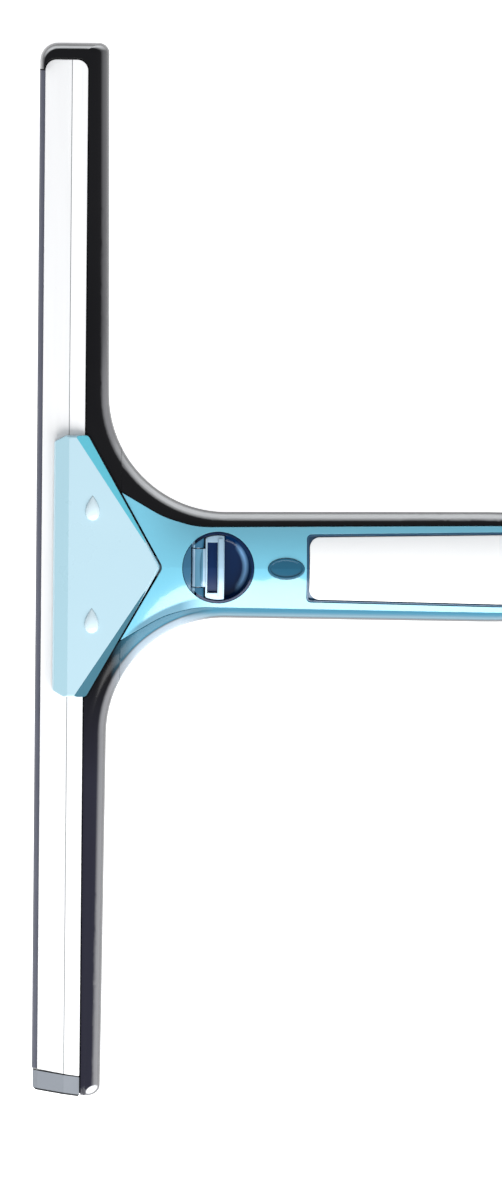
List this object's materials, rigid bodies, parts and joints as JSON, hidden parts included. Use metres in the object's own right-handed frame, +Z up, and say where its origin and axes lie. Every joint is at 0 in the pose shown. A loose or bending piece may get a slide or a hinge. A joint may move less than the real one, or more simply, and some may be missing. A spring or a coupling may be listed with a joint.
{
  "type": "window and film squeegee",
  "caption": "T-shaped hand squeegee with a slide-out rubber blade in a metal channel, a clamp plate, a release lever and a moulded handle.",
  "frame": {"origin": "centre of the bounding box on the flat back's plane, midway between the blade's edge and the handle's end", "axes": "+X along the handle away from the blade, +Y along the head towards the closed end, +Z up from the flat back through the label"},
  "size_m": [0.24, 0.3505, 0.0194],
  "materials": {
    "black_body": "gloss, soft-touch moulded",
    "blue_shell": "gloss moulded",
    "pale_blue": "gloss moulded",
    "rivet_white": "gloss",
    "navy_cup": "gloss moulded",
    "lever_blue": "gloss moulded",
    "lever_pale": "gloss moulded",
    "tray_blue": "gloss moulded",
    "white_label": "printed film, blank",
    "badge_teal": "gloss",
    "bright_channel": "bright satin, drawn along its length",
    "blade_rubber": "smooth",
    "pad_rubber": "matt",
    "grey_plug": "satin moulded",
    "steel_pins": "turned",
    "spring_steel": "drawn wire",
    "eyelet_metal": "polished",
    "brass": "knurled"
  },
  "bodies": {
    "root": {"t_frame": "black_body", "handle_frame": "black_body", "upper_shell": "blue_shell", "finger_well": "navy_cup", "lever_block": "lever_blue", "lever_pin": "steel_pins", "label_tray": "tray_blue", "label_plate": "white_label", "oval_badge": "badge_teal", "jaw_pin": "steel_pins", "jaw_spring": "spring_steel", "palm_grip": "pad_rubber", "hang_grommet": "eyelet_metal", "shell_screws": "steel_pins", "screw_inserts": "brass"},
    "jaw": {"jaw_plate": "pale_blue", "jaw_rivets": "rivet_white", "grip_pad": "pad_rubber"},
    "lever": {"cam_lever": "lever_pale", "lever_inlay": "navy_cup"},
    "cartridge": {"blade_channel": "bright_channel", "rubber_blade": "blade_rubber", "blade_clips": "spring_steel"},
    "plug": {"end_plug": "grey_plug"}
  },
  "joints": [
    {"name": "lever_flip", "type": "hinge", "parent": "root", "child": "lever", "pos_m": [-0.0664, 0.0028, 0.0153], "axis": [0, -1, 0], "range_deg": [0, 65]},
    {"name": "jaw_tilt", "type": "hinge", "parent": "root", "child": "jaw", "pos_m": [-0.09, 0.0028, 0.0104], "axis": [0, 1, 0], "range_deg": [0, 4.55]},
    {"name": "cartridge_slide", "type": "slide", "parent": "root", "child": "cartridge", "axis": [0, -1, 0], "range_m": [0, 0.36]},
    {"name": "plug_pull", "type": "slide", "parent": "cartridge", "child": "plug", "axis": [0, -1, 0], "range_m": [0, 0.016]}
  ],
  "couplings": [
    {"joint": "jaw_tilt", "follows": "lever_flip", "ratio": 0.07}
  ]
}
